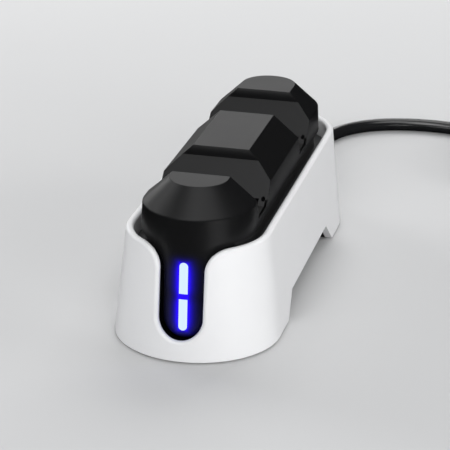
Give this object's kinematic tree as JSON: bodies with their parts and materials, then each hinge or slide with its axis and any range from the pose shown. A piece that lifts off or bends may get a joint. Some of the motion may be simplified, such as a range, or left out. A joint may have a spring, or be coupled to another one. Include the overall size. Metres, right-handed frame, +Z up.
{
  "type": "controller charging dock",
  "caption": "Charging dock for game controllers: a black cradle housing with cross channels and contact noses stands in a white outer shell with a lit front tongue and a lead.",
  "frame": {"origin": "on the floor, under the middle of the outer shell", "axes": "+X to the right seen from the front, +Y to the rear where the lead leaves, +Z up"},
  "size_m": [0.1879, 0.29, 0.0624],
  "materials": {
    "white_shell": "satin moulded plastic",
    "black_housing": "fine matte moulded plastic",
    "black_cover": "matte moulded plastic",
    "screw_steel": "zinc plated",
    "circuit_board": "solder mask",
    "chip_black": "moulded package",
    "inductor_grey": "ferrite",
    "header_white": "moulded plastic",
    "light_bar": "translucent, lit from behind",
    "light_box_white": "moulded plastic",
    "led_yellow": "encapsulant",
    "ribbon_white": "flat ribbon",
    "cable_black": "smooth cable sheath",
    "tie_black": "soft strap",
    "plug_black": "overmoulded grip",
    "plug_metal": "nickel plated",
    "plug_insulator": "moulded plastic",
    "contact_plastic": "matte moulded plastic",
    "contact_metal": "plated contact",
    "foot_rubber": "moulded rubber"
  },
  "bodies": {
    "root": {"base_shell": "white_shell", "board_screws": "screw_steel", "bottom_cover": "black_cover", "cable": "cable_black", "cable_coil": "cable_black", "cable_tail": "cable_black", "charge_chips": "chip_black", "coil_tie": "tie_black", "contact_blades_front": "contact_metal", "contact_blades_rear": "contact_metal", "contact_block_front": "contact_plastic", "contact_block_rear": "contact_plastic", "cover_screws": "screw_steel", "cradle_housing": "black_housing", "foot_pad_front_left": "foot_rubber", "foot_pad_front_right": "foot_rubber", "foot_pad_rear_left": "foot_rubber", "foot_pad_rear_right": "foot_rubber", "input_header": "header_white", "input_lead": "cable_black", "led_board": "circuit_board", "led_chips": "led_yellow", "led_header": "header_white", "led_ribbon": "ribbon_white", "light_bar_lower": "light_bar", "light_bar_upper": "light_bar", "light_box": "light_box_white", "main_board": "circuit_board", "plug_body": "plug_black", "plug_shell": "plug_metal", "plug_tongue": "plug_insulator", "power_inductors": "inductor_grey", "strain_relief": "cable_black"}
  },
  "joints": []
}
